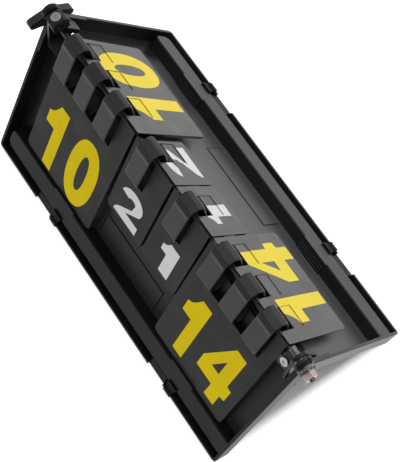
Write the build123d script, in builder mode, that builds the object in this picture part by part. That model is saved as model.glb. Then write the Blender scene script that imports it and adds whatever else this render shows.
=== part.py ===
from build123d import *
import os
from math import sin, cos, radians, sqrt

os.makedirs("parts", exist_ok=True)

# Tabletop flip scoreboard, standing as a tent. Millimetres, +Z up, ridge along X.
# The hinge line of both trays lies at height ridge_z above the table.

# overall
tray_length = 390.0
tray_width = 200.0
tray_depth = 18.5
half_angle = 31.88

# tray shell
wall = 3.0
floor_thickness = 3.0
under_round = 4.5
rim_round = 0.8
floor_start = 49.5
foot_cut = 0.5

# ledge inside the outer wall
ledge_to_edge = 12.0
ledge_width = 24.5
ledge_outer = tray_width - ledge_to_edge
ledge_inner = ledge_outer - ledge_width
ledge_end_gap = 5.0
ledge_below_rim = 1.5
ledge_end_round = ledge_width / 3
ledge_edge_round = 3.0
groove_count = 4
groove_width = 0.9
groove_depth = 0.6
groove_pitch = 2.8
bulge_length = 34.0
bulge_reach = 2.6

# raised panel on the floor
panel_start = ledge_inner - 31.5
panel_half_length = 47.0
panel_height = 0.8
panel_groove = 1.2

# latches
hook_centres = (91.0, -115.6)
hook_length = 10.2
hook_start = tray_width - 11.0
hook_proud = 2.0
hook_depth = 6.0
notch_centres = (111.4, -94.4)
notch_length = 25.4
notch_depth = 2.6
notch_start = tray_width - 11.4

# ears around the hinge line
ear_radius = 8.5
ear_thickness = 2.5
ear_layer_gap = 0.3
cheek_start = 14.0
cheek_shallow = 4.0
cheek_mid = 25.0
pin_radius = 3.0
running_clearance = 0.05
seat_clearance = 0.02
pin_head_radius = 6.5
pin_head_thickness = 1.6

# rings
set_ring = 29.6
ring_end_distance = 46.0
ring_pitch = 33.0
ring_width = 20.0
ring_band = 2.0
ring_top = 7.5
ring_top_half = 4.2
ring_back_y = 9.3
ring_crease_y = -9.9
ring_flank_y = -26.3
ring_flank_z = -26.5
ring_shin_z = -33.0
ring_toe_y = -22.0
ring_under_z = -40.0
ring_corner = 1.8
ring_end_round = 1.2

# spine bar
bar_width = 12.0
bar_height = 6.0

# end brackets
bracket_gap = 2.2
bracket_thickness = 3.0
bracket_top_radius = 7.5
bracket_foot_y = 17.0
bracket_foot_z = -39.0
flange_length = 10.0
flange_start = 10.0
flange_end = 27.0
flange_thickness = 2.5
saddle_half_width = 8.0
saddle_top = 8.0
saddle_bottom = -6.0

# tie rod, nut and wing nut
rod_z = -18.0
rod_radius = 2.5
washer_radius = 6.0
washer_thickness = 2.0
end_gap = 0.4
nut_flats = 11.0
nut_thickness = 6.0
wing_thickness = 7.8
wing_hub_radius = 9.0
wing_reach = 23.0
wing_tip_radius = 4.5
wing_tilt = -20.0

# screws
screw_radius = 1.5
screw_head_radius = 3.0
screw_head_height = 1.6
screw_grip = 4.0
face_screw_radius = 4.6
face_screw_height = 1.4
face_screw_socket = 1.8
face_screw_shank = 2.0

# cards
card_thickness = 0.5
card_start = 3.2
strip_end = 4.9
slot_end = 48.0
slot_width = 22.0
card_corner = 5.0
front_card_gap = 3.0
back_card_gap = 1.6
back_set_shift = 6.5
card_past_ring = 16.0
left_split_to_ring = 21.15
middle_split = 7.4
right_split_to_ring = 20.25
flange_clearance = 2.0
front_score_end = ledge_inner - bulge_reach - 0.9
front_set_end = 106.0
back_score_end = 118.0
back_set_end = 68.0
front_card_offset = 0.5
back_card_offset = -1.5
front_score_tilt = 1.6
front_set_tilt = 3.0
back_tilt = 1.5

# piles of cards under the top ones
pile_gap = 0.1
pile_start = 17.0
pile_inset = 0.5
front_pile_nose = 2.0
front_tongue_drop = 4.0
back_pile_start = 13.0
back_sheets = 1.1
back_slot_end = 30.0
back_stack_start = 50.0
back_stack = 2.4
back_support_inset = 12.0

# derived
foot_u = tray_width - under_round
foot_k = tray_depth - under_round
ridge_z = foot_u * cos(radians(half_angle)) + foot_k * sin(radians(half_angle)) + under_round - foot_cut
half_length = tray_length / 2
outer_ring = half_length - ring_end_distance
inner_ring = outer_ring - 2 * ring_pitch
ring_centres = (set_ring, inner_ring, inner_ring + ring_pitch, outer_ring)
left_end = -(outer_ring + card_past_ring)
left_split = -(set_ring + left_split_to_ring)
right_split = inner_ring - right_split_to_ring
ear_outer = half_length
ear_inner = half_length - ear_thickness - ear_layer_gap
inner_face = half_length - 2 * ear_thickness - ear_layer_gap
bracket_x = inner_face - bracket_gap - bracket_thickness
pin_inner_x = bracket_x - 8.5
top_screw_x = bracket_x - 3.3
wing_start = half_length + end_gap + washer_thickness + 0.3
overall_half_length = wing_start + wing_thickness + 0.5
right_end = bracket_x - flange_length - flange_clearance
floor_top = -(tray_depth - floor_thickness)


def spot(side, x, u, h, tilt=0.0):
    # a point in a tray's own frame: x along the ridge, u away from it, h outwards from the rim
    a = radians(half_angle - tilt)
    y = side * (u * sin(a) + h * cos(a))
    z = ridge_z - u * cos(a) + h * sin(a)
    return Vector(side * x, y, z)


def side_plane(side, tilt=0.0):
    a = radians(half_angle - tilt)
    normal = (0, side * cos(a), sin(a))
    return Plane(origin=(0, 0, ridge_z), x_dir=(side, 0, 0), z_dir=normal)


def tray_prism(side, x_low, x_high, outline, tilt=0.0):
    # outline of (u, h) points, run along x
    corners = [spot(side, x_low, u, h, tilt) for u, h in outline]
    face = Face(Wire.make_polygon(corners, close=True))
    return Solid.extrude(face, Vector(side * (x_high - x_low), 0, 0))


def tray_block(side, x_low, x_high, u_low, u_high, h_low, h_high, tilt=0.0):
    outline = [(u_low, h_low), (u_high, h_low), (u_high, h_high), (u_low, h_high)]
    return tray_prism(side, x_low, x_high, outline, tilt)


def ridge_rod(x_low, x_high, radius, z_offset=0.0):
    plane = Plane(origin=(x_low, 0, ridge_z + z_offset), x_dir=(0, 1, 0), z_dir=(1, 0, 0))
    return Solid.make_cylinder(radius, x_high - x_low, plane)


def ridge_prism(x_low, x_high, outline):
    # outline of (y, z) points about the hinge line, run along x
    corners = [Vector(x_low, y, ridge_z + z) for y, z in outline]
    face = Face(Wire.make_polygon(corners, close=True))
    return Solid.extrude(face, Vector(x_high - x_low, 0, 0))


def turned_disc(side, x_low, x_high, u, h, radius):
    # a disc or hole whose axis runs along x
    start = spot(side, x_low, u, h)
    plane = Plane(origin=start, x_dir=(0, 0, 1), z_dir=(side, 0, 0))
    return Solid.make_cylinder(radius, x_high - x_low, plane)


def local_place(edge, side):
    return side_plane(side).to_local_coords(edge.center())


def is_under_end(edge, side):
    place = local_place(edge, side)
    at_end = abs(abs(place.X) - half_length) < 0.1
    return at_end and abs(place.Z + tray_depth) < 0.1


def is_far_under(edge, side):
    place = local_place(edge, side)
    at_far = abs(place.Y - tray_width) < 0.1
    return at_far and abs(place.Z + tray_depth) < 0.1


def is_ledge_top(edge, side):
    place = local_place(edge, side)
    on_top = abs(place.Z + ledge_below_rim) < 0.1
    return on_top and ledge_inner - 0.1 < place.Y < ledge_outer + 0.1


def build_tray(side):
    cheek = [
        (cheek_start, 0),
        (floor_start + 1, 0),
        (floor_start + 1, -tray_depth),
        (floor_start, -tray_depth),
        (cheek_mid + 5, -cheek_shallow - 4),
        (cheek_mid, -cheek_shallow),
        (cheek_start, -cheek_shallow),
    ]
    neck = [
        (0, ear_radius - 0.3),
        (6, ear_radius - 2),
        (cheek_start - 1, 0),
        (cheek_start + 1, 0),
        (cheek_start + 1, -cheek_shallow),
        (cheek_start - 4, -cheek_shallow - 1.5),
        (0, -ear_radius + 0.3),
    ]
    outer_ear = (-half_length, -half_length + ear_thickness)
    inner_ear = (inner_face, inner_face + ear_thickness)
    with BuildPart(side_plane(side)) as shell:
        with Locations((0, (floor_start + tray_width) / 2, -tray_depth / 2)):
            Box(tray_length, tray_width - floor_start, tray_depth)
        fillet([e for e in shell.edges() if is_far_under(e, side)], radius=under_round)
        fillet([e for e in shell.edges() if is_under_end(e, side)], radius=under_round - 0.3)
    with BuildPart(side_plane(side)) as ledge:
        # rounded at its far end, run into the end wall at the near end
        far_x = -side * (half_length - wall - ledge_end_gap)
        near_x = side * (half_length - wall / 3)
        middle_u = (ledge_inner + ledge_outer) / 2
        height = tray_depth - floor_thickness + 0.5 - ledge_below_rim
        with Locations(((far_x + near_x) / 2, middle_u, -ledge_below_rim - height / 2)):
            Box(abs(far_x - near_x), ledge_outer - ledge_inner, height)
        fillet([e for e in ledge.edges() if is_far_upright(e, side)], radius=ledge_end_round)
        for centre in hook_centres:
            with Locations((centre, ledge_inner, -ledge_below_rim - height / 2)):
                Box(bulge_length, 2 * bulge_reach, height)
        fillet([e for e in ledge.edges() if is_ledge_top(e, side)], radius=ledge_edge_round / 2)
    with BuildPart() as tray:
        add(shell.part)
        add(
            tray_block(
                side,
                -half_length + wall,
                half_length - wall,
                floor_start - 2,
                tray_width - wall,
                floor_top,
                2,
            ),
            mode=Mode.SUBTRACT,
        )
        add(ledge.part)
        # raised panel between the set cards and the ledge, in a fine groove
        add(
            tray_block(
                side,
                -panel_half_length - panel_groove,
                panel_half_length + panel_groove,
                panel_start - panel_groove,
                ledge_inner - bulge_reach,
                floor_top - panel_height,
                floor_top + panel_height,
            ),
            mode=Mode.SUBTRACT,
        )
        add(
            tray_block(
                side,
                -panel_half_length,
                panel_half_length,
                panel_start,
                ledge_inner + 1,
                floor_top - panel_height - 0.2,
                floor_top + panel_height,
            )
        )
        # end walls and ears
        add(tray_prism(side, -half_length, -inner_face, cheek))
        add(tray_prism(side, inner_face, half_length, cheek))
        for low, high in (outer_ear, inner_ear):
            add(tray_prism(side, low, high, neck))
            add(turned_disc(side, low, high, 0, 0, ear_radius))
            hole = turned_disc(side, low - 1, high + 1, 0, 0, pin_radius + running_clearance)
            add(hole, mode=Mode.SUBTRACT)
        # latch notches in the rim
        for centre in notch_centres:
            low = centre - notch_length / 2
            high = centre + notch_length / 2
            notch = tray_block(side, low, high, notch_start, tray_width + 2, -notch_depth, 2)
            add(notch, mode=Mode.SUBTRACT)
        # seats for the latch hooks
        for centre in hook_centres:
            low = centre - hook_length / 2
            high = centre + hook_length / 2
            seat = tray_block(side, low, high, hook_start, tray_width + 2, -hook_depth, 2)
            add(seat, mode=Mode.SUBTRACT)
        # fine grooves along the inner face of the ledge
        for row in range(groove_count):
            top = -ledge_below_rim - 4 - row * groove_pitch
            groove = tray_block(
                side,
                -half_length + wall + ledge_end_gap + 10,
                half_length - wall - ledge_end_gap - 10,
                ledge_inner - bulge_reach - 1,
                ledge_inner - bulge_reach + groove_depth,
                top - groove_width,
                top,
            )
            add(groove, mode=Mode.SUBTRACT)
        # flat foot
        with Locations((0, side * tray_width / 2, -tray_depth)):
            Box(tray_length + 2 * wall, tray_width, 2 * tray_depth, mode=Mode.SUBTRACT)
    return tray


def is_far_upright(edge, side):
    tangent = edge.tangent_at(0.5)
    normal = side_plane(side).z_dir
    return abs(tangent.dot(normal)) > 0.99 and local_place(edge, side).X * side < 0


def build_hooks(side, index):
    centre = hook_centres[index]
    low = centre - hook_length / 2 + seat_clearance
    high = centre + hook_length / 2 - seat_clearance
    body = [
        (hook_start + seat_clearance, -hook_depth),
        (tray_width, -hook_depth),
        (tray_width, hook_proud - 1.2),
        (tray_width - 1.2, hook_proud),
        (tray_width - 5, hook_proud),
        (tray_width - 6.5, 0.4),
        (hook_start + seat_clearance, 0.4),
    ]
    return tray_prism(side, low, high, body)


with BuildPart() as front_tray:
    add(build_tray(-1).part)
front_tray.part.label = "front_tray"
export_step(front_tray.part, "parts/front_tray.step")

with BuildPart() as back_tray:
    add(build_tray(1).part)
back_tray.part.label = "back_tray"
export_step(back_tray.part, "parts/back_tray.step")

for index, end in enumerate(("a", "b")):
    with BuildPart() as front_hook:
        add(build_hooks(-1, index))
    front_hook.part.label = "front_hook_" + end
    export_step(front_hook.part, "parts/front_hook_" + end + ".step")
    with BuildPart() as back_hook:
        add(build_hooks(1, index))
    back_hook.part.label = "back_hook_" + end
    export_step(back_hook.part, "parts/back_hook_" + end + ".step")

# ring bands: a flank along the front tray, a low top and an upright back leg
ring_outline = [
    (ring_top_half, ring_top),
    (ring_back_y - 0.9, ring_top - 4.3),
    (ring_back_y, -2),
    (ring_back_y - 0.3, ring_under_z),
    (ring_toe_y, ring_under_z),
    (ring_flank_y, ring_shin_z),
    (ring_flank_y, ring_flank_z),
    (ring_crease_y, -0.2),
    (ring_crease_y + 1.7, ring_top - 4.1),
    (-ring_top_half, ring_top),
]
ring_positions = sorted([-c for c in ring_centres] + list(ring_centres))
bar_bottom = ring_under_z + ring_band
bar_top = bar_bottom + bar_height



def crossing(a, b, c, d):
    # where the line a-b meets the line c-d
    ab = (b[0] - a[0], b[1] - a[1])
    cd = (d[0] - c[0], d[1] - c[1])
    along = ((c[0] - a[0]) * cd[1] - (c[1] - a[1]) * cd[0]) / (ab[0] * cd[1] - ab[1] * cd[0])
    return a[0] + along * ab[0], a[1] + along * ab[1]


def shifted(a, b, amount):
    # the edge a-b moved to its right by amount
    length = sqrt((b[0] - a[0]) ** 2 + (b[1] - a[1]) ** 2)
    step = ((b[1] - a[1]) / length * amount, (a[0] - b[0]) / length * amount)
    return (a[0] + step[0], a[1] + step[1]), (b[0] + step[0], b[1] + step[1])


def inset(outline, amount):
    # a clockwise outline drawn in by amount
    count = len(outline)
    edges = [shifted(outline[i], outline[(i + 1) % count], amount) for i in range(count)]
    return [crossing(*edges[i - 1], *edges[i]) for i in range(count)]


for index, centre in enumerate(ring_positions):
    with BuildPart() as ring:
        start = Plane(origin=(centre - ring_width / 2, 0, ridge_z), x_dir=(0, 1, 0), z_dir=(1, 0, 0))
        with BuildSketch(start) as band:
            with BuildLine():
                Polyline(*ring_outline, close=True)
            make_face()
            fillet(band.vertices(), radius=ring_corner)
        extrude(amount=ring_width)
        ends = ring.faces().filter_by(Axis.X)
        fillet(ends.edges(), radius=ring_end_round)
        with BuildSketch(start):
            with BuildLine():
                Polyline(*inset(ring_outline, ring_band), close=True)
            make_face()
        extrude(amount=ring_width, mode=Mode.SUBTRACT)
        hole = Solid.make_cylinder(
            screw_radius + seat_clearance,
            ring_band + 2,
            Plane(origin=(centre, 0, ridge_z + ring_under_z - 1)),
        )
        add(hole, mode=Mode.SUBTRACT)
    name = "ring_" + str(index + 1)
    ring.part.label = name
    export_step(ring.part, "parts/" + name + ".step")

# spine bar inside the feet of the rings, with tapped holes for the ring screws
bar_middle = ridge_z + (bar_bottom + bar_top) / 2
with BuildPart() as spine_bar:
    with Locations((0, 0, bar_middle)):
        Box(2 * bracket_x, bar_width, bar_height)
    fillet(spine_bar.edges().filter_by(Axis.X), radius=0.8)
    with Locations([(c, 0, ridge_z + bar_bottom + screw_grip / 2) for c in ring_positions]):
        Cylinder(screw_radius + seat_clearance, screw_grip, mode=Mode.SUBTRACT)
    for x in (-bracket_x, bracket_x - screw_grip):
        hole = ridge_rod(x, x + screw_grip, screw_radius + seat_clearance, bar_bottom + bar_height / 2)
        add(hole, mode=Mode.SUBTRACT)
spine_bar.part.label = "spine_bar"
export_step(spine_bar.part, "parts/spine_bar.step")

# one screw under each ring
with BuildPart() as ring_screws:
    head_z = ridge_z + ring_under_z - screw_head_height / 2
    shank = ring_band + screw_grip
    with Locations([(c, 0, head_z) for c in ring_positions]):
        Cylinder(screw_head_radius, screw_head_height)
    with Locations([(c, 0, ridge_z + ring_under_z + shank / 2) for c in ring_positions]):
        Cylinder(screw_radius, shank)
ring_screws.part.label = "ring_screws"
export_step(ring_screws.part, "parts/ring_screws.step")

# end brackets: a plate on each end of the bar, holding a hinge pin and the tie rod
bracket_outline = [
    (-bracket_top_radius + 0.5, 2),
    (bracket_top_radius - 0.5, 2),
    (bracket_foot_y, bracket_foot_z),
    (-bracket_foot_y, bracket_foot_z),
]


def build_bracket(end):
    inner = bracket_x
    outer = bracket_x + bracket_thickness
    low, high = (inner, outer) if end > 0 else (-outer, -inner)
    flange_low, flange_high = (inner - flange_length, inner) if end > 0 else (-inner, -inner + flange_length)
    with BuildPart() as bracket:
        add(ridge_prism(low, high, bracket_outline))
        add(ridge_rod(low, high, bracket_top_radius))
        # sloping flange that carries the face screw
        side = -1 if end > 0 else 1
        local_low = side * flange_high
        local_high = side * flange_low
        flange_x = (min(local_low, local_high), max(local_low, local_high))
        add(tray_block(side, flange_x[0], flange_x[1], flange_start, flange_end, -flange_thickness, 0))
        if end < 0:
            # saddle over the far hinge pin
            saddle = [
                (-saddle_half_width, saddle_bottom),
                (saddle_half_width, saddle_bottom),
                (saddle_half_width, saddle_top - 3),
                (saddle_half_width - 3, saddle_top),
                (-saddle_half_width + 3, saddle_top),
                (-saddle_half_width, saddle_top - 3),
            ]
            add(ridge_prism(low, flange_high, saddle))
        pin_hole = ridge_rod(-overall_half_length, overall_half_length, pin_radius + seat_clearance)
        add(pin_hole, mode=Mode.SUBTRACT)
        rod_hole = ridge_rod(-overall_half_length, overall_half_length, rod_radius + seat_clearance, rod_z)
        add(rod_hole, mode=Mode.SUBTRACT)
        bar_z = bar_bottom + bar_height / 2
        bar_hole = ridge_rod(low - 1, high + 1, screw_radius + seat_clearance, bar_z)
        add(bar_hole, mode=Mode.SUBTRACT)
        if end > 0:
            add(face_screw_hole(side, flange_x), mode=Mode.SUBTRACT)
        else:
            add(top_screw_hole(), mode=Mode.SUBTRACT)
    return bracket


def face_screw_plane(side, flange_x, depth):
    middle = (flange_x[0] + flange_x[1]) / 2
    start = spot(side, middle, (flange_start + flange_end) / 2, -depth)
    return Plane(origin=start, x_dir=(1, 0, 0), z_dir=side_plane(side).z_dir)


def face_screw_hole(side, flange_x):
    plane = face_screw_plane(side, flange_x, flange_thickness + 1)
    return Solid.make_cylinder(face_screw_shank + seat_clearance, flange_thickness + 2, plane)


def top_screw_hole():
    plane = Plane(origin=(-top_screw_x, 0, ridge_z + pin_radius - 1))
    return Solid.make_cylinder(face_screw_shank + seat_clearance, saddle_top, plane)


with BuildPart() as near_bracket:
    add(build_bracket(1).part)
near_bracket.part.label = "near_bracket"
export_step(near_bracket.part, "parts/near_bracket.step")

with BuildPart() as far_bracket:
    add(build_bracket(-1).part)
far_bracket.part.label = "far_bracket"
export_step(far_bracket.part, "parts/far_bracket.step")


def build_face_screw(plane, shank_length):
    head = Plane(origin=plane.origin + plane.z_dir * shank_length, x_dir=plane.x_dir, z_dir=plane.z_dir)
    with BuildPart() as screw:
        add(Solid.make_cylinder(face_screw_shank, shank_length + 0.2, plane))
        with BuildSketch(head):
            Circle(face_screw_radius)
        extrude(amount=face_screw_height)
        rim = screw.edges().filter_by(GeomType.CIRCLE).sort_by(SortBy.RADIUS)[-2:]
        chamfer(rim.sort_by(Axis.Z)[-1], length=0.4)
        with BuildSketch(head.offset(face_screw_height - 0.8)):
            RegularPolygon(face_screw_socket, 6)
        extrude(amount=2, mode=Mode.SUBTRACT)
    return screw


with BuildPart() as near_face_screw:
    flange_local = (-bracket_x, -bracket_x + flange_length)
    add(build_face_screw(face_screw_plane(-1, flange_local, flange_thickness), flange_thickness).part)
near_face_screw.part.label = "near_face_screw"
export_step(near_face_screw.part, "parts/near_face_screw.step")

with BuildPart() as far_top_screw:
    seat = Plane(origin=(-top_screw_x, 0, ridge_z + pin_radius))
    add(build_face_screw(seat, saddle_top - pin_radius).part)
far_top_screw.part.label = "far_top_screw"
export_step(far_top_screw.part, "parts/far_top_screw.step")

# screws that hold the brackets to the ends of the bar
with BuildPart() as bracket_screws:
    bar_z = bar_bottom + bar_height / 2
    outer = bracket_x + bracket_thickness
    for end in (-1, 1):
        head = sorted((end * outer, end * (outer + screw_head_height)))
        add(ridge_rod(head[0], head[1], screw_head_radius, bar_z))
        stem = sorted((end * (bracket_x - screw_grip), end * outer))
        add(ridge_rod(stem[0], stem[1], screw_radius, bar_z))
bracket_screws.part.label = "bracket_screws"
export_step(bracket_screws.part, "parts/bracket_screws.step")

# hinge pins through the ears
with BuildPart() as hinge_pins:
    head_start = half_length + ear_layer_gap
    for end in (-1, 1):
        stem = sorted((end * pin_inner_x, end * head_start))
        add(ridge_rod(stem[0], stem[1], pin_radius))
        head = sorted((end * head_start, end * (head_start + pin_head_thickness)))
        add(ridge_rod(head[0], head[1], pin_head_radius))
hinge_pins.part.label = "hinge_pins"
export_step(hinge_pins.part, "parts/hinge_pins.step")

# tie rod from end to end
with BuildPart() as tie_rod:
    add(ridge_rod(-overall_half_length, overall_half_length, rod_radius, rod_z))
    ends = tie_rod.edges().filter_by(GeomType.CIRCLE)
    chamfer(ends, length=0.5)
tie_rod.part.label = "tie_rod"
export_step(tie_rod.part, "parts/tie_rod.step")

washer_x = half_length + end_gap
with BuildPart() as washers:
    for end in (-1, 1):
        span = sorted((end * washer_x, end * (washer_x + washer_thickness)))
        add(ridge_rod(span[0], span[1], washer_radius, rod_z))
    add(
        ridge_rod(-overall_half_length, overall_half_length, rod_radius + seat_clearance, rod_z),
        mode=Mode.SUBTRACT,
    )
washers.part.label = "rod_washers"
export_step(washers.part, "parts/rod_washers.step")

nut_x = washer_x + washer_thickness
with BuildPart() as nut:
    nut_plane = Plane(origin=(nut_x, 0, ridge_z + rod_z), x_dir=(0, 1, 0), z_dir=(1, 0, 0))
    with BuildSketch(nut_plane):
        RegularPolygon(nut_flats / 2, 6, major_radius=False, rotation=15)
        Circle(rod_radius + seat_clearance, mode=Mode.SUBTRACT)
    extrude(amount=nut_thickness)
nut.part.label = "rod_nut"
export_step(nut.part, "parts/rod_nut.step")

# wing nut on the far end, shaped about its own axis and then set on the rod
with BuildPart() as wing_body:
    wing_plane = Plane(
        origin=(0, 0, 0),
        x_dir=(0, cos(radians(wing_tilt)), sin(radians(wing_tilt))),
        z_dir=(-1, 0, 0),
    )
    lobe_centre = wing_reach - wing_tip_radius
    with BuildSketch(wing_plane):
        Circle(wing_hub_radius)
        for way in (-1, 1):
            with Locations((way * lobe_centre, 3.0)):
                Circle(wing_tip_radius)
            with BuildLine():
                Polyline(
                    (0, wing_hub_radius - 0.5),
                    (way * (lobe_centre - 1), 3.0 + wing_tip_radius),
                    (way * (lobe_centre + 1), 3.0 - wing_tip_radius),
                    (way * 4, -wing_hub_radius + 1.5),
                    close=True,
                )
            make_face()
    extrude(amount=wing_thickness)
    fillet(wing_body.faces().sort_by(Axis.X)[0].edges(), radius=1.2)
    with BuildSketch(wing_plane):
        Circle(rod_radius + running_clearance)
    extrude(amount=wing_thickness, mode=Mode.SUBTRACT)

with BuildPart() as wing_nut:
    add(wing_body.part.moved(Location((-wing_start, 0, ridge_z + rod_z))))
wing_nut.part.label = "wing_nut"
export_step(wing_nut.part, "parts/wing_nut.step")


def card_tilt(side, name):
    # how far each leaf leans into its tray
    if side > 0:
        return back_tilt
    return front_score_tilt if name.endswith("score") else front_set_tilt


def floor_level(u, tilt):
    # height of the tray floor in a frame tilted inwards by tilt
    return (floor_top + u * sin(radians(tilt))) / cos(radians(tilt))


def ring_slots(side, low, high, u_low, u_high, h_low, h_high, tilt):
    cuts = []
    for centre in ring_positions:
        local = side * centre
        if low < local < high:
            near = local - slot_width / 2
            far = local + slot_width / 2
            cuts.append(tray_block(side, near, far, u_low, u_high, h_low, h_high, tilt))
    return cuts


def ring_span(side, low, high):
    # from the first to the last ring that passes through a card
    inside = [side * c for c in ring_positions if low < side * c < high]
    return min(inside) - slot_width / 2, max(inside) + slot_width / 2


def is_outer_corner(edge, side, end, tilt):
    place = side_plane(side, tilt).to_local_coords(edge.center())
    upright = abs(edge.tangent_at(0.5).dot(side_plane(side, tilt).z_dir)) > 0.99
    return upright and abs(place.Y - end) < 0.1


def card_span(side, name):
    # left and right are along the ridge: left is -X, right is +X
    half_gap = (front_card_gap if side < 0 else back_card_gap) / 2
    set_start = left_split + half_gap + (0 if side < 0 else back_set_shift)
    edges = {
        "left_score": (left_end, left_split - half_gap),
        "left_set": (set_start, middle_split - half_gap),
        "right_set": (middle_split + half_gap, right_split - half_gap),
        "right_score": (right_split + half_gap, right_end),
    }
    low, high = sorted(side * x for x in edges[name])
    if side < 0:
        end = front_score_end if name.endswith("score") else front_set_end
    else:
        end = back_score_end if name.endswith("score") else back_set_end
    return low, high, end


def build_card(side, name):
    low, high, end = card_span(side, name)
    tilt = card_tilt(side, name)
    middle = front_card_offset if side < 0 else back_card_offset
    under = middle - card_thickness / 2
    over = middle + card_thickness / 2
    with BuildPart() as card:
        add(tray_block(side, low, high, card_start, end, under, over, tilt))
        if side < 0:
            # one window for all its rings
            near, far = ring_span(side, low, high)
            window = tray_block(side, near, far, strip_end, slot_end, under - 1, over + 1, tilt)
            add(window, mode=Mode.SUBTRACT)
        else:
            for cut in ring_slots(side, low, high, strip_end, slot_end, under - 1, over + 1, tilt):
                add(cut, mode=Mode.SUBTRACT)
        corners = [e for e in card.edges() if is_outer_corner(e, side, end, tilt)]
        fillet(corners, radius=card_corner)
    return card


def build_front_pile(name):
    # a full pile resting on the tray floor, with low tongues between the rings
    side = -1
    low, high, end = card_span(side, name)
    tilt = card_tilt(side, name)
    end -= pile_inset
    top = front_card_offset - card_thickness / 2 - pile_gap
    rest_start = floor_start + 3
    outline = [
        (pile_start, top),
        (end, top),
        (end, floor_level(end, tilt)),
        (rest_start, floor_level(rest_start, tilt)),
        (pile_start, top - front_pile_nose),
    ]
    near, far = ring_span(side, low, high)
    window = [
        (pile_start - 1, top + 1),
        (slot_end, top + 1),
        (slot_end, top - front_tongue_drop - front_pile_nose),
        (pile_start + 7, top - front_tongue_drop),
        (pile_start - 1, top - front_tongue_drop),
    ]
    with BuildPart() as pile:
        add(tray_prism(side, low + pile_inset, high - pile_inset, outline, tilt))
        add(tray_prism(side, near, far, window, tilt), mode=Mode.SUBTRACT)
        for cut in ring_slots(side, low, high, pile_start - 1, slot_end, -20, 5, tilt):
            add(cut, mode=Mode.SUBTRACT)
    return pile


def build_back_pile(name):
    # thin leaves over a shorter stack that is packed up from the tray floor
    side = 1
    low, high, end = card_span(side, name)
    tilt = card_tilt(side, name)
    end -= pile_inset
    top = back_card_offset - card_thickness / 2 - pile_gap
    under = top - back_sheets
    base = under - back_stack
    rest_start = floor_start + 3
    rest_end = max(end - back_support_inset, rest_start + 4)
    support = [
        (rest_start, base + 0.5),
        (rest_end, base + 0.5),
        (rest_end, floor_level(rest_end, tilt)),
        (rest_start, floor_level(rest_start, tilt)),
    ]
    with BuildPart() as pile:
        add(tray_block(side, low + pile_inset, high - pile_inset, back_pile_start, end, under, top, tilt))
        for cut in ring_slots(side, low, high, back_pile_start - 1, back_slot_end, under - 1, top + 1, tilt):
            add(cut, mode=Mode.SUBTRACT)
        inner_low = low + 2 * pile_inset
        inner_high = high - 2 * pile_inset
        stack_end = end - pile_inset
        add(tray_block(side, inner_low, inner_high, back_stack_start, stack_end, base, under, tilt))
        add(tray_prism(side, low + back_support_inset, high - back_support_inset, support, tilt))
    return pile


card_names = ("left_score", "left_set", "right_set", "right_score")
for side, word in ((-1, "front"), (1, "back")):
    for name in card_names:
        label = word + "_" + name
        with BuildPart() as card:
            add(build_card(side, name).part)
        card.part.label = label + "_card"
        export_step(card.part, "parts/" + label + "_card.step")
        with BuildPart() as pile:
            add((build_front_pile(name) if side < 0 else build_back_pile(name)).part)
        pile.part.label = label + "_pile"
        export_step(pile.part, "parts/" + label + "_pile.step")
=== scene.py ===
from collections import namedtuple
from functools import partial
from math import sin, cos, radians, pi
import bmesh
import bpy
from mathutils import Matrix, Vector


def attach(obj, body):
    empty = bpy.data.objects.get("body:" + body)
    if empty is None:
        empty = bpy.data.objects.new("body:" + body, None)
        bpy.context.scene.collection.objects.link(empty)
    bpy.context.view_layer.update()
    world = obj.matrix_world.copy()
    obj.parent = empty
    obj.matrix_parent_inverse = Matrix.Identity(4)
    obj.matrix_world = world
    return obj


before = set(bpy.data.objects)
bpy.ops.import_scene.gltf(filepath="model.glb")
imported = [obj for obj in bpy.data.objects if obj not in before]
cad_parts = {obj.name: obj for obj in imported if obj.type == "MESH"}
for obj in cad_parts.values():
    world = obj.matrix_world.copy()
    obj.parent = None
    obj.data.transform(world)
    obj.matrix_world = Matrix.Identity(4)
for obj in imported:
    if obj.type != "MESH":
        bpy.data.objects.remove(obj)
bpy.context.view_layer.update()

# Sizes and places of the pieces are in millimetres, and MM turns them into Blender's metres.
MM = 0.001

# the scoreboard's own frame: the hinge line runs along X at height RIDGE
RIDGE = 177.404
HALF_ANGLE = 31.88
SIDES = ((-1, "front"), (1, "back"))
CARD_NAMES = ("left_score", "left_set", "right_set", "right_score")

# rings, and the slots that the sheets have for them
RING_DISTANCES = (29.6, 83.0, 116.0, 149.0)
RING_CENTRES = sorted(side * distance for side in (-1, 1) for distance in RING_DISTANCES)
SLOT_HALF_WIDTH = 11.0

# ink of the figures: its height over a sheet, and how far it keeps clear of a slot
INK_LIFT = 0.01
INK_MARGIN = 0.05

# printed sheets: the height of the ink over the rim plane, and the sheet's lean from its tray
Sheet = namedtuple("Sheet", "side height tilt ink slot_end")
FRONT_SHEETS = {
    "score": Sheet(side=-1, height=0.75 + INK_LIFT, tilt=1.6, ink=0.12, slot_end=None),
    "set": Sheet(side=-1, height=0.75 + INK_LIFT, tilt=3.0, ink=0.12, slot_end=None),
}
BACK_SHEET = Sheet(side=1, height=-1.25 + INK_LIFT, tilt=1.5, ink=0.12, slot_end=48.0)
BACK_PILE_SHEET = Sheet(side=1, height=-1.85 + INK_LIFT, tilt=1.5, ink=0.06, slot_end=30.0)

# latches: letter, then the middles of the hook and of the notch beside it along a tray
LATCHES = (("a", 91.0, 111.4), ("b", -115.6, -94.4))
STRIP_HALF_LENGTH = 12.4
STRIP_U = (189.0, 199.6)
STRIP_H = (-2.55, -2.15)
STRIP_ROUND = 0.1
LIP_HALF_LENGTH = 6.5
LIP_U = (184.6, 188.9)
LIP_H = (-1.45, 0.35)
LIP_ROUND = 0.4

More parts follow.
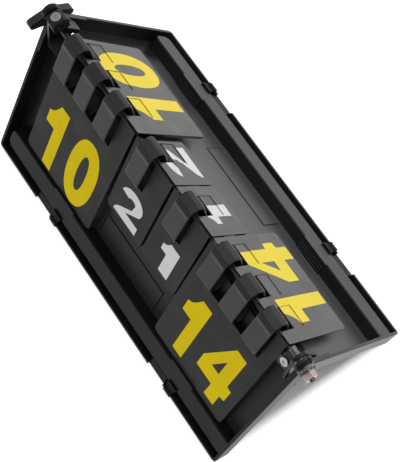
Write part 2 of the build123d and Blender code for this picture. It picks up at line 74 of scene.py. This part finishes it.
# dark pieces below the hinge line, put where the inside of the board is only in shade, as painted shade:
# their reach along X, and from the hinge line along Y and Z
UNDER_SHADE_STRIP = ((-184.0, 184.0), (-7.0, 11.5), (-42.4, -41.6))
FAR_SHADE_FILLER = ((-184.4, -165.4), (-17.0, -3.2), (-31.0, -29.0))

# a tray's paler floor: below this height from the rim plane, and fading out at the far end, where the floor
# takes the dark wall colour as painted shade
FLOOR_ZONE_H = (-14.2 * MM, -13.9 * MM)
FLOOR_FAR_SHADE_X = (-170.0 * MM, -160.0 * MM)
FLOOR_PATCHES = 9.0

# painted shade on the slotted tongues of the front piles between the rings: it ends here, measured from the
# hinge line
TONGUE_END = 48.0 * MM
TONGUE_BLEND = 0.6 * MM

# table, light and camera, in metres
TABLE_REACH = 3.0
TABLE_GLOW = 0.62
FOOTPRINT = {"X": 0.19, "Y": 0.088}
FOOTPRINT_SHADOW_BLEND = 0.004
ROOM_LIGHT = 0.5
SEEN_BACKGROUND = 1.0
CAMERA_PLACE = (0.32461, -0.08325, 1.08144)
CAMERA_RIGHT = (0.55729, 0.82469, -0.09649)
CAMERA_BACKWARDS = (0.28671, -0.08207, 0.95450)
CAMERA_LENS = 89.307
SENSOR_WIDTH = 36.0


def spot(side, x, u, h, tilt=0.0):
    # x along the world's X, u away from the hinge line down a tray, h outwards from its rim plane
    a = radians(HALF_ANGLE - tilt)
    y = side * (u * sin(a) + h * cos(a))
    z = RIDGE - u * cos(a) + h * sin(a)
    return Vector((x * MM, y * MM, z * MM))


def around(middle, half):
    return (middle - half, middle + half)


def add_piece(name, mesh, material, body):
    obj = bpy.data.objects.new(name, mesh)
    bpy.context.scene.collection.objects.link(obj)
    mesh.materials.append(material)
    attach(obj, body)


# ---------------------------------------------------------------- shader nodes


def new_material(name):
    material = bpy.data.materials.new(name)
    material.use_nodes = True
    tree = material.node_tree
    tree.nodes.clear()
    out = tree.nodes.new("ShaderNodeOutputMaterial")
    shader = tree.nodes.new("ShaderNodeBsdfPrincipled")
    tree.links.new(shader.outputs["BSDF"], out.inputs["Surface"])
    return material, tree, shader


def nodes_of(material):
    tree = material.node_tree
    shader = [n for n in tree.nodes if n.type == "BSDF_PRINCIPLED"][0]
    coord = [n for n in tree.nodes if n.type == "TEX_COORD"][0]
    return tree, shader, coord


def noise(tree, coord, scale, detail, rough, stretch=None):
    node = tree.nodes.new("ShaderNodeTexNoise")
    node.inputs["Scale"].default_value = scale
    node.inputs["Detail"].default_value = detail
    node.inputs["Roughness"].default_value = rough
    source = coord.outputs["Object"]
    if stretch:
        mapping = tree.nodes.new("ShaderNodeMapping")
        mapping.inputs["Scale"].default_value = stretch
        tree.links.new(source, mapping.inputs["Vector"])
        source = mapping.outputs["Vector"]
    tree.links.new(source, node.inputs["Vector"])
    return node.outputs["Fac"]


def remap(tree, source, low, high, to_low, to_high):
    node = tree.nodes.new("ShaderNodeMapRange")
    node.inputs["From Min"].default_value = low
    node.inputs["From Max"].default_value = high
    node.inputs["To Min"].default_value = to_low
    node.inputs["To Max"].default_value = to_high
    tree.links.new(source, node.inputs["Value"])
    return node.outputs["Result"]


def maths(tree, operation, *sources):
    node = tree.nodes.new("ShaderNodeMath")
    node.operation = operation
    for socket, source in zip(node.inputs, sources):
        if isinstance(source, float):
            socket.default_value = source
        else:
            tree.links.new(source, socket)
    return node.outputs["Value"]


def mix_colour(tree, factor, a, b):
    node = tree.nodes.new("ShaderNodeMix")
    node.data_type = "RGBA"
    tree.links.new(factor, node.inputs["Factor"])
    for key, value in (("A", a), ("B", b)):
        socket = [s for s in node.inputs if s.name == key and s.type == "RGBA"][0]
        if isinstance(value, tuple):
            socket.default_value = (*value, 1.0)
        else:
            tree.links.new(value, socket)
    return [s for s in node.outputs if s.type == "RGBA"][0]


def patched(tree, coord, scale, a, b, stretch=None):
    # soft patches of two close colours
    patches = noise(tree, coord, scale, detail=4.0, rough=0.6, stretch=stretch)
    return mix_colour(tree, remap(tree, patches, 0.35, 0.68, 0.0, 1.0), a, b)


def edge_mask(tree, radius, low=0.02, high=0.35):
    # 1 along sharp edges and 0 on flats, and the normals that round the edges
    bevel = tree.nodes.new("ShaderNodeBevel")
    bevel.samples = 4
    bevel.inputs["Radius"].default_value = radius
    geometry = tree.nodes.new("ShaderNodeNewGeometry")
    dot = tree.nodes.new("ShaderNodeVectorMath")
    dot.operation = "DOT_PRODUCT"
    tree.links.new(bevel.outputs["Normal"], dot.inputs[0])
    tree.links.new(geometry.outputs["Normal"], dot.inputs[1])
    mask = remap(tree, dot.outputs["Value"], 1.0 - low, 1.0 - high, 0.0, 1.0)
    return mask, bevel.outputs["Normal"]


def along(tree, coord, direction):
    # distance along a direction from the origin of the part's own axes
    dot = tree.nodes.new("ShaderNodeVectorMath")
    dot.operation = "DOT_PRODUCT"
    tree.links.new(coord.outputs["Object"], dot.inputs[0])
    dot.inputs[1].default_value = direction
    return dot.outputs["Value"]


# ---------------------------------------------------------------- materials


def plastic(name, colour, patch_colour, edge_colour, rough, level, grain, bump, patch,
            wear, edge, stretch=None, metal=0.0):
    # two close colours in patches, worn to edge_colour along edges, with uneven roughness and
    # a fine grain; grain and patch are noise scales, level is specular, edge is a radius
    material, tree, shader = new_material(name)
    coord = tree.nodes.new("ShaderNodeTexCoord")
    plain = patched(tree, coord, patch, colour, patch_colour, stretch)
    mask, edge_normal = edge_mask(tree, edge)
    scuff = noise(tree, coord, scale=160.0, detail=4.0, rough=0.65)
    worn = maths(tree, "MULTIPLY", mask, remap(tree, scuff, 0.3, 0.8, 0.0, wear))
    tree.links.new(mix_colour(tree, worn, plain, edge_colour), shader.inputs["Base Color"])

    dull = noise(tree, coord, scale=patch * 5.0, detail=3.0, rough=0.6)
    tree.links.new(remap(tree, dull, 0.3, 0.7, *rough), shader.inputs["Roughness"])
    fine = noise(tree, coord, grain, detail=2.0, rough=0.5, stretch=stretch)
    ridges = tree.nodes.new("ShaderNodeBump")
    ridges.inputs["Strength"].default_value = bump
    ridges.inputs["Distance"].default_value = 0.0002
    tree.links.new(fine, ridges.inputs["Height"])
    tree.links.new(edge_normal, ridges.inputs["Normal"])
    tree.links.new(ridges.outputs["Normal"], shader.inputs["Normal"])
    shader.inputs["Metallic"].default_value = metal
    shader.inputs["Specular IOR Level"].default_value = level
    return material


def pale_floor(material, side, colour, patch_colour, level, rough, wall_rough=0.34):
    # the moulded floor of a tray is a paler satin sheet than its black walls and ledge
    tree, shader, coord = nodes_of(material)
    a = radians(HALF_ANGLE)
    outwards = along(tree, coord, (0.0, side * cos(a), sin(a)))
    height = maths(tree, "SUBTRACT", outwards, RIDGE * MM * sin(a))
    low = remap(tree, height, *FLOOR_ZONE_H, 1.0, 0.0)
    parts = tree.nodes.new("ShaderNodeSeparateXYZ")
    tree.links.new(coord.outputs["Object"], parts.inputs[0])
    # towards the far end the floor is turned back to the dark wall colour: painted shade
    mask = maths(tree, "MULTIPLY", low, remap(tree, parts.outputs["X"], *FLOOR_FAR_SHADE_X, 0.0, 1.0))

    pale = patched(tree, coord, FLOOR_PATCHES, colour, patch_colour)
    walls = shader.inputs["Base Color"].links[0].from_socket
    tree.links.new(mix_colour(tree, mask, walls, pale), shader.inputs["Base Color"])
    wall_level = shader.inputs["Specular IOR Level"].default_value
    tree.links.new(remap(tree, mask, 0.0, 1.0, wall_level, level), shader.inputs["Specular IOR Level"])
    tree.links.new(remap(tree, mask, 0.0, 1.0, wall_rough, rough), shader.inputs["Roughness"])


def paint_tongue_shade(material, side, dark):
    # painted shade on the slotted tongues of the sheets near the hinge line, between the rings
    tree, shader, coord = nodes_of(material)
    a = radians(HALF_ANGLE)
    downwards = along(tree, coord, (0.0, side * sin(a), -cos(a)))
    end = TONGUE_END - RIDGE * MM * cos(a)
    mask = remap(tree, downwards, end, end + TONGUE_BLEND, 1.0, 0.0)
    sheets = shader.inputs["Base Color"].links[0].from_socket
    tree.links.new(mix_colour(tree, mask, sheets, dark), shader.inputs["Base Color"])


# both trays are one black plastic: the front copy is darker with less specular as painted shade, the back
# copy lighter with more specular as painted sheen, and their paler floors are split the same way
front_plastic_shaded = plastic(
    "front_tray_plastic_shaded", (0.006, 0.006, 0.0065), (0.010, 0.010, 0.0105), (0.05, 0.05, 0.051),
    rough=(0.3, 0.42), level=0.08, grain=700.0, bump=0.1, patch=12.0, wear=0.5, edge=0.0008)
pale_floor(front_plastic_shaded, -1, (0.024, 0.023, 0.0225), (0.03, 0.029, 0.028), level=0.14, rough=0.5)
back_plastic_lit = plastic(
    "back_tray_plastic_lit", (0.008, 0.008, 0.009), (0.013, 0.013, 0.014), (0.07, 0.07, 0.072),
    rough=(0.3, 0.42), level=0.2, grain=700.0, bump=0.1, patch=12.0, wear=0.6, edge=0.0008)
pale_floor(back_plastic_lit, 1, (0.05, 0.049, 0.049), (0.06, 0.059, 0.058), level=0.45, rough=0.42)
latch_plastic = plastic(
    "latch_plastic", (0.003, 0.003, 0.0033), (0.005, 0.005, 0.0052), (0.03, 0.03, 0.03),
    rough=(0.4, 0.5), level=0.08, grain=500.0, bump=0.08, patch=30.0, wear=0.5, edge=0.0008)
ring_plastic = plastic(
    "ring_plastic", (0.0135, 0.0135, 0.014), (0.019, 0.0187, 0.019), (0.06, 0.06, 0.06),
    rough=(0.3, 0.4), level=0.28, grain=800.0, bump=0.12, patch=25.0, wear=0.4, edge=0.0012)
frame_plastic = plastic(
    "frame_plastic", (0.006, 0.006, 0.0065), (0.010, 0.010, 0.0105), (0.06, 0.06, 0.06),
    rough=(0.3, 0.44), level=0.2, grain=700.0, bump=0.12, patch=25.0, wear=0.5, edge=0.0007)
knob_plastic = plastic(
    "knob_plastic", (0.01, 0.01, 0.011), (0.016, 0.016, 0.017), (0.08, 0.08, 0.08),
    rough=(0.25, 0.36), level=0.5, grain=600.0, bump=0.1, patch=40.0, wear=0.5, edge=0.0008)
screw_steel = plastic(
    "screw_steel", (0.42, 0.415, 0.41), (0.3, 0.295, 0.29), (0.85, 0.84, 0.82), metal=1.0,
    rough=(0.24, 0.38), level=0.5, grain=1500.0, bump=0.08, patch=120.0, wear=0.6, edge=0.0003)
pin_steel = plastic(
    "pin_steel", (0.12, 0.12, 0.122), (0.07, 0.07, 0.07), (0.3, 0.3, 0.3), metal=1.0,
    rough=(0.3, 0.45), level=0.5, grain=1500.0, bump=0.1, patch=120.0, wear=0.6, edge=0.0003)
nut_metal = plastic(
    "nut_metal", (0.5, 0.4, 0.38), (0.36, 0.3, 0.29), (0.8, 0.7, 0.66), metal=1.0,
    rough=(0.25, 0.4), level=0.5, grain=1500.0, bump=0.1, patch=120.0, wear=0.6, edge=0.0004)
# the sheets are one dark vinyl: the front copy is darker with less specular as painted shade, the back copy
# lighter with more specular as painted sheen
front_sheet_shaded = plastic(
    "front_sheet_shaded", (0.019, 0.0185, 0.0185), (0.026, 0.025, 0.0245), (0.12, 0.115, 0.11),
    rough=(0.42, 0.55), level=0.12, grain=1600.0, bump=0.06, patch=9.0, wear=0.5, edge=0.0003)
back_sheet_lit = plastic(
    "back_sheet_lit", (0.03, 0.029, 0.029), (0.038, 0.037, 0.036), (0.15, 0.145, 0.14),
    rough=(0.3, 0.42), level=0.42, grain=1600.0, bump=0.06, patch=9.0, wear=0.35, edge=0.0003)
# the piles are one material: the front copy is darker with less specular as painted shade, the back copy
# lighter with more specular as painted sheen
front_pile_shaded = plastic(
    "front_pile_shaded", (0.02, 0.0195, 0.0195), (0.045, 0.044, 0.043), (0.12, 0.115, 0.11), (0.45, 0.6),
    level=0.12, grain=1600.0, bump=0.06, patch=60.0, wear=0.45, edge=0.0002, stretch=(0.15, 1.0, 1.0))
paint_tongue_shade(front_pile_shaded, -1, (0.005, 0.0048, 0.0048))
back_pile_lit = plastic(
    "back_pile_lit", (0.05, 0.049, 0.049), (0.09, 0.088, 0.086), (0.2, 0.195, 0.19), (0.4, 0.5),
    level=0.4, grain=1600.0, bump=0.06, patch=60.0, wear=0.45, edge=0.0002, stretch=(0.15, 1.0, 1.0))
yellow_ink = plastic(
    "yellow_ink", (0.86, 0.65, 0.002), (0.92, 0.70, 0.003), (0.6, 0.45, 0.02),
    rough=(0.45, 0.55), level=0.05, grain=1400.0, bump=0.06, patch=30.0, wear=0.3, edge=0.0002)
# the back inks are copies of the front inks, darker as painted shade and with more specular as painted
# sheen, to suit the light on the back
yellow_back_ink_painted_light = plastic(
    "yellow_back_ink_painted_light", (0.72, 0.565, 0.01), (0.77, 0.6, 0.015), (0.55, 0.44, 0.04),
    rough=(0.4, 0.5), level=0.3, grain=1400.0, bump=0.06, patch=30.0, wear=0.3, edge=0.0002)
white_ink = plastic(
    "white_ink", (0.78, 0.775, 0.79), (0.84, 0.835, 0.85), (0.6, 0.6, 0.6),
    rough=(0.35, 0.46), level=0.45, grain=1400.0, bump=0.06, patch=30.0, wear=0.4, edge=0.0002)
white_back_ink_painted_light = plastic(
    "white_back_ink_painted_light", (0.6, 0.6, 0.615), (0.65, 0.65, 0.665), (0.5, 0.5, 0.5),
    rough=(0.4, 0.5), level=0.3, grain=1400.0, bump=0.06, patch=30.0, wear=0.3, edge=0.0002)

SLOT_MATERIAL = {
    "latch": latch_plastic,
    "ring": ring_plastic,
    "frame": frame_plastic,
    "steel": screw_steel,
    "pin": pin_steel,
    "nut": nut_metal,
    "knob": knob_plastic,
}
# each side has its own copy of the tray, sheet and pile materials: painted shade on the front, painted
# sheen on the back
SIDE_MATERIAL = {
    "front": {
        "tray": front_plastic_shaded,
        "score_card": front_sheet_shaded,
        "set_card": front_sheet_shaded,
        "sheet_pile": front_pile_shaded,
    },
    "back": {
        "tray": back_plastic_lit,
        "score_card": back_sheet_lit,
        "set_card": back_sheet_lit,
        "sheet_pile": back_pile_lit,
    },
}
INK = {
    "front": {"score": yellow_ink, "set": white_ink},
    "back": {"score": yellow_back_ink_painted_light, "set": white_back_ink_painted_light},
}


def slot_of(node):
    if node.endswith("_tray"):
        return "tray"
    if "_hook_" in node:
        return "latch"
    if node.endswith("score_card"):
        return "score_card"
    if node.endswith("set_card"):
        return "set_card"
    if node.endswith("_pile"):
        return "sheet_pile"
    if node in ("ring_screws", "bracket_screws", "near_face_screw", "far_top_screw"):
        return "steel"
    if node.startswith("ring_"):
        return "ring"
    if node in ("spine_bar", "near_bracket", "far_bracket"):
        return "frame"
    if node == "rod_nut":
        return "nut"
    if node == "wing_nut":
        return "knob"
    return "pin"


for node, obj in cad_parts.items():
    slot = slot_of(node)
    if slot in SLOT_MATERIAL:
        material = SLOT_MATERIAL[slot]
    else:
        material = SIDE_MATERIAL[node.split("_")[0]][slot]
    if not obj.material_slots:
        obj.data.materials.append(material)
    for holder in obj.material_slots:
        holder.material = material


# ---------------------------------------------------------------- outlines of the figures
# on a unit cell: x from 0 to 1 across the figure, y from 0 at its foot to 1 at its top


def arc(centre, radii, start, end, steps, power=2.0):
    # part of an ellipse, squarer where the power is over 2
    points = []
    for i in range(steps + 1):
        t = radians(start + (end - start) * i / steps)
        c, s = cos(t), sin(t)
        x = centre[0] + radii[0] * (abs(c) ** (2 / power)) * (1 if c >= 0 else -1)
        y = centre[1] + radii[1] * (abs(s) ** (2 / power)) * (1 if s >= 0 else -1)
        points.append((x, y))
    return points


def one_outline(stem, low, high, steps=6, sag=0.05):
    # the flag sweeps down to the left from the top of the stem
    sweep = []
    for i in range(steps + 1):
        t = i / steps
        sweep.append((stem - stem * t, 1.0 + (high - 1.0) * t - sag * sin(pi * t)))
    return [[(1.0, 0.0), (1.0, 1.0)] + sweep + [(0.0, low), (stem, low), (stem, 0.0)]]


def two_outline(bar=0.25, band=0.31, top_share=0.74):
    centre = (0.49, 0.70)
    radii = (0.46, 0.31)
    inner_radii = (radii[0] - band, radii[1] - band * top_share)
    outer = arc(centre, radii, 172, -28, steps=22)
    inner = arc(centre, inner_radii, -28, 172, steps=16)
    foot = [(0.42, bar), (1.0, bar), (1.0, 0.0), (0.0, 0.0), (0.03, 0.1), (0.12, 0.2), (0.60, 0.51)]
    return [outer + foot + inner]


def zero_outline(side=0.346, top=0.23):
    centre = (0.5, 0.5)
    radii = (0.5, 0.52)
    inner_radii = (radii[0] - side, radii[1] - top)
    outer = arc(centre, radii, 0, 352, steps=44, power=2.25)
    inner = arc(centre, inner_radii, 0, 345, steps=23, power=2.2)
    return [outer, inner]


def four_outline():
    outer = [(0.54, 1.0), (0.86, 1.0), (0.86, 0.45), (1.0, 0.44), (1.0, 0.23), (0.86, 0.21), (0.86, 0.0),
             (0.53, 0.0), (0.54, 0.22), (0.0, 0.22), (0.0, 0.445)]
    inner = [(0.54, 0.72), (0.54, 0.45), (0.29, 0.45)]
    return [outer, inner]


ONE = one_outline(stem=0.49, low=0.60, high=0.79)
SET_ONE = one_outline(stem=0.38, low=0.60, high=0.81)
TWO = two_outline()
ZERO = zero_outline()
FOUR = four_outline()


# ---------------------------------------------------------------- figures on the cards

# left is the reader's left edge of a figure; the reader of the back stands behind the board
Place = namedtuple("Place", "left width foot height")
FIGURES = {
    "front_left_score": (
        (ONE, Place(left=-152.3, width=27.1, foot=157.4, height=85.0)),
        (ZERO, Place(left=-108.6, width=42.2, foot=155.8, height=88.0)),
    ),
    "front_left_set": ((TWO, Place(left=-40.0, width=34.9, foot=101.6, height=43.0)),),
    "front_right_set": ((SET_ONE, Place(left=25.9, width=21.4, foot=99.6, height=42.0)),),
    "front_right_score": (
        (ONE, Place(left=77.4, width=26.5, foot=150.6, height=85.5)),
        (FOUR, Place(left=119.6, width=42.5, foot=151.2, height=85.6)),
    ),
    "back_left_score": (
        (ONE, Place(left=69.0, width=27.0, foot=113.2, height=84.7)),
        (ZERO, Place(left=109.4, width=43.1, foot=110.8, height=85.0)),
    ),
    "back_left_set": ((TWO, Place(left=1.5, width=34.7, foot=60.4, height=46.0)),),
    "back_right_set": ((SET_ONE, Place(left=-49.8, width=20.5, foot=60.2, height=41.5)),),
    "back_right_score": (
        (ONE, Place(left=-157.0, width=26.0, foot=115.8, height=87.0)),
        (FOUR, Place(left=-116.8, width=42.5, foot=116.2, height=88.0)),
    ),
}


def cut_flat(bm, point, normal):
    geom = bm.verts[:] + bm.edges[:] + bm.faces[:]
    bmesh.ops.bisect_plane(bm, geom=geom, plane_co=point, plane_no=normal)


def clear_slots(bm, place, sheet):
    # take the ink away where a sheet is slotted for the rings
    edge = place.foot - sheet.slot_end - INK_MARGIN
    strips = []
    for centre in RING_CENTRES:
        low, high = around(-sheet.side * centre - place.left, SLOT_HALF_WIDTH + INK_MARGIN)
        if high > 0 and low < place.width:
            strips.append((low, high))
    if not strips or max(v.co.y for v in bm.verts) < edge:
        return
    cut_flat(bm, (0, edge, 0), (0, 1, 0))
    for strip in strips:
        for end in strip:
            cut_flat(bm, (end, 0, 0), (1, 0, 0))
    gone = []
    for face in bm.faces:
        middle = face.calc_center_median()
        if middle.y > edge and any(low < middle.x < high for low, high in strips):
            gone.append(face)
    bmesh.ops.delete(bm, geom=gone, context="FACES")


def filled(name, outlines, place):
    # a flat mesh of a figure at its real size, with the holes of its inner outlines
    curve = bpy.data.curves.new(name, "CURVE")
    curve.dimensions = "2D"
    curve.fill_mode = "FRONT"
    for outline in outlines:
        spline = curve.splines.new("POLY")
        spline.points.add(len(outline) - 1)
        for point, (x, y) in zip(spline.points, outline):
            point.co = (x * place.width, y * place.height, 0.0, 1.0)
        spline.use_cyclic_u = True
    flat = bpy.data.objects.new(name + "_flat", curve)
    mesh = bpy.data.meshes.new_from_object(flat)
    bpy.data.objects.remove(flat)
    bpy.data.curves.remove(curve)
    return mesh


def figure(name, outlines, place, sheet, material, body):
    # a thin printed figure, lying on a sheet
    mesh = filled(name, outlines, place)
    bm = bmesh.new()
    bm.from_mesh(mesh)
    bmesh.ops.remove_doubles(bm, verts=bm.verts, dist=0.001)
    if sheet.slot_end:
        clear_slots(bm, place, sheet)
    made = bmesh.ops.extrude_face_region(bm, geom=bm.faces[:])
    for item in made["geom"]:
        if isinstance(item, bmesh.types.BMVert):
            item.co.z = sheet.ink
    for v in bm.verts:
        x = -sheet.side * (place.left + v.co.x)
        v.co = spot(sheet.side, x, place.foot - v.co.y, sheet.height + v.co.z, sheet.tilt)
    bmesh.ops.recalc_face_normals(bm, faces=bm.faces)
    bm.to_mesh(mesh)
    bm.free()
    add_piece(name, mesh, material, body)


for side, word in SIDES:
    for name in CARD_NAMES:
        kind = name.split("_")[1]
        body = word + "_" + name
        ink = INK[word][kind]
        sheet = FRONT_SHEETS[kind] if side < 0 else BACK_SHEET
        for letter, (outlines, place) in zip("ab", FIGURES[body]):
            label = body + "_digit_" + letter
            figure(label, outlines, place, sheet, ink, body)
            if side > 0:
                # the same figure shows on the sheet below, through the slots of the top one
                figure(label + "_under", outlines, place, BACK_PILE_SHEET, ink, "back_tray")


# ---------------------------------------------------------------- blocks on the trays and the spine


def on_tray(side, x, u, h):
    # x runs towards the reader's left of that side, as the trays are half-turn copies
    return spot(side, side * x, u, h)


def from_hinge(x, y, z):
    return Vector((x * MM, y * MM, (RIDGE + z) * MM))


def block(name, place, reaches, material, body, rounding=0.0):
    # place turns three distances into a corner, and reaches holds the low and high end of each
    first, second, third = reaches
    verts = []
    for a in first:
        for i, j in ((0, 0), (1, 0), (1, 1), (0, 1)):
            verts.append(place(a, second[i], third[j]))
    faces = [(0, 1, 2, 3), (7, 6, 5, 4), (0, 4, 5, 1), (1, 5, 6, 2), (2, 6, 7, 3), (3, 7, 4, 0)]
    mesh = bpy.data.meshes.new(name)
    mesh.from_pydata(verts, [], faces)
    bm = bmesh.new()
    bm.from_mesh(mesh)
    bmesh.ops.recalc_face_normals(bm, faces=bm.faces)
    if rounding:
        bmesh.ops.bevel(bm, geom=bm.edges[:], offset=rounding * MM, segments=2, profile=0.5, affect="EDGES")
    bm.to_mesh(mesh)
    bm.free()
    add_piece(name, mesh, material, body)


for side, word in SIDES:
    tray = word + "_tray"
    place = partial(on_tray, side)
    for letter, hook, notch in LATCHES:
        strip = (around(notch, STRIP_HALF_LENGTH), STRIP_U, STRIP_H)
        block(word + "_latch_strip_" + letter, place, strip, latch_plastic, tray, STRIP_ROUND)
        lip = (around(hook, LIP_HALF_LENGTH), LIP_U, LIP_H)
        block(word + "_latch_lip_" + letter, place, lip, latch_plastic, tray, LIP_ROUND)

# painted shade: a dark strip under the bar, and a filler beside the far bracket, that keep the inside of
# the board dark
block("under_shade_strip", from_hinge, UNDER_SHADE_STRIP, frame_plastic, "spine")
block("far_shade_filler", from_hinge, FAR_SHADE_FILLER, frame_plastic, "spine")


# ---------------------------------------------------------------- table


def table_material():
    # matt and pale, glowing for the camera and in reflections except under the board
    material = bpy.data.materials.new("floor")
    material.use_nodes = True
    tree = material.node_tree
    tree.nodes.clear()
    diffuse = tree.nodes.new("ShaderNodeBsdfDiffuse")
    diffuse.inputs["Color"].default_value = (0.8, 0.8, 0.8, 1)

    coord = tree.nodes.new("ShaderNodeTexCoord")
    parts = tree.nodes.new("ShaderNodeSeparateXYZ")
    tree.links.new(coord.outputs["Object"], parts.inputs[0])
    outside = []
    # over the board's footprint at rest the glow is left out, so the table there shows its own lit shade;
    # this box stays put in every pose, and its soft rim is a painted contact shadow
    for axis, reach in FOOTPRINT.items():
        distance = maths(tree, "ABSOLUTE", parts.outputs[axis])
        outside.append(remap(tree, distance, *around(reach, FOOTPRINT_SHADOW_BLEND), 0.0, TABLE_GLOW))
    glow = tree.nodes.new("ShaderNodeEmission")
    glow.inputs["Color"].default_value = (1, 1, 1, 1)
    tree.links.new(maths(tree, "MAXIMUM", *outside), glow.inputs["Strength"])
    glowing = tree.nodes.new("ShaderNodeAddShader")
    tree.links.new(diffuse.outputs[0], glowing.inputs[0])
    tree.links.new(glow.outputs[0], glowing.inputs[1])

    path = tree.nodes.new("ShaderNodeLightPath")
    seen = maths(tree, "MAXIMUM", path.outputs["Is Camera Ray"], path.outputs["Is Glossy Ray"])
    seen = maths(tree, "MAXIMUM", seen, path.outputs["Is Transmission Ray"])
    pick = tree.nodes.new("ShaderNodeMixShader")
    tree.links.new(seen, pick.inputs["Fac"])
    tree.links.new(diffuse.outputs[0], pick.inputs[1])
    tree.links.new(glowing.outputs[0], pick.inputs[2])
    out = tree.nodes.new("ShaderNodeOutputMaterial")
    tree.links.new(pick.outputs[0], out.inputs["Surface"])
    return material


floor_mesh = bpy.data.meshes.new("floor")
corners = [(x * TABLE_REACH, y * TABLE_REACH, 0) for x, y in ((-1, -1), (1, -1), (1, 1), (-1, 1))]
floor_mesh.from_pydata(corners, [], [(0, 1, 2, 3)])
floor = bpy.data.objects.new("floor", floor_mesh)
bpy.context.scene.collection.objects.link(floor)
floor_mesh.materials.append(table_material())


# ---------------------------------------------------------------- light


def room_light():
    # white where the camera sees it, and softer where it lights the board
    world = bpy.data.worlds.new("world")
    bpy.context.scene.world = world
    world.use_nodes = True
    tree = world.node_tree
    tree.nodes.clear()
    path = tree.nodes.new("ShaderNodeLightPath")
    pick = tree.nodes.new("ShaderNodeMixShader")
    tree.links.new(path.outputs["Is Camera Ray"], pick.inputs["Fac"])
    for socket, strength in ((pick.inputs[1], ROOM_LIGHT), (pick.inputs[2], SEEN_BACKGROUND)):
        background = tree.nodes.new("ShaderNodeBackground")
        background.inputs["Color"].default_value = (1, 1, 1, 1)
        background.inputs["Strength"].default_value = strength
        tree.links.new(background.outputs[0], socket)
    out = tree.nodes.new("ShaderNodeOutputWorld")
    tree.links.new(pick.outputs[0], out.inputs["Surface"])


def soft_lamp(name, place, target, size, energy):
    data = bpy.data.lights.new(name, "AREA")
    data.shape = "RECTANGLE"
    data.size, data.size_y = size
    data.energy = energy
    lamp = bpy.data.objects.new(name, data)
    lamp.location = place
    aim = Vector(target) - Vector(place)
    lamp.rotation_euler = aim.to_track_quat("-Z", "Y").to_euler()
    bpy.context.scene.collection.objects.link(lamp)


room_light()
soft_lamp("key", place=(0.1, 1.5, 1.5), target=(0, 0, 0.1), size=(1.4, 1.4), energy=22.0)
soft_lamp("top", place=(0.2, 0.0, 2.2), target=(0, 0, 0.1), size=(1.6, 1.6), energy=10.0)


# ---------------------------------------------------------------- camera

camera_data = bpy.data.cameras.new("camera")
camera_data.lens = CAMERA_LENS
camera_data.sensor_width = SENSOR_WIDTH
camera_data.sensor_fit = "AUTO"
camera_data.clip_start = 0.01
camera = bpy.data.objects.new("camera", camera_data)
z_axis = Vector(CAMERA_BACKWARDS).normalized()
y_axis = z_axis.cross(Vector(CAMERA_RIGHT).normalized()).normalized()
x_axis = y_axis.cross(z_axis)
turn = Matrix((x_axis, y_axis, z_axis)).transposed().to_4x4()
camera.matrix_world = Matrix.Translation(CAMERA_PLACE) @ turn
bpy.context.scene.collection.objects.link(camera)
bpy.context.scene.camera = camera
bpy.context.scene.view_settings.view_transform = "Standard"
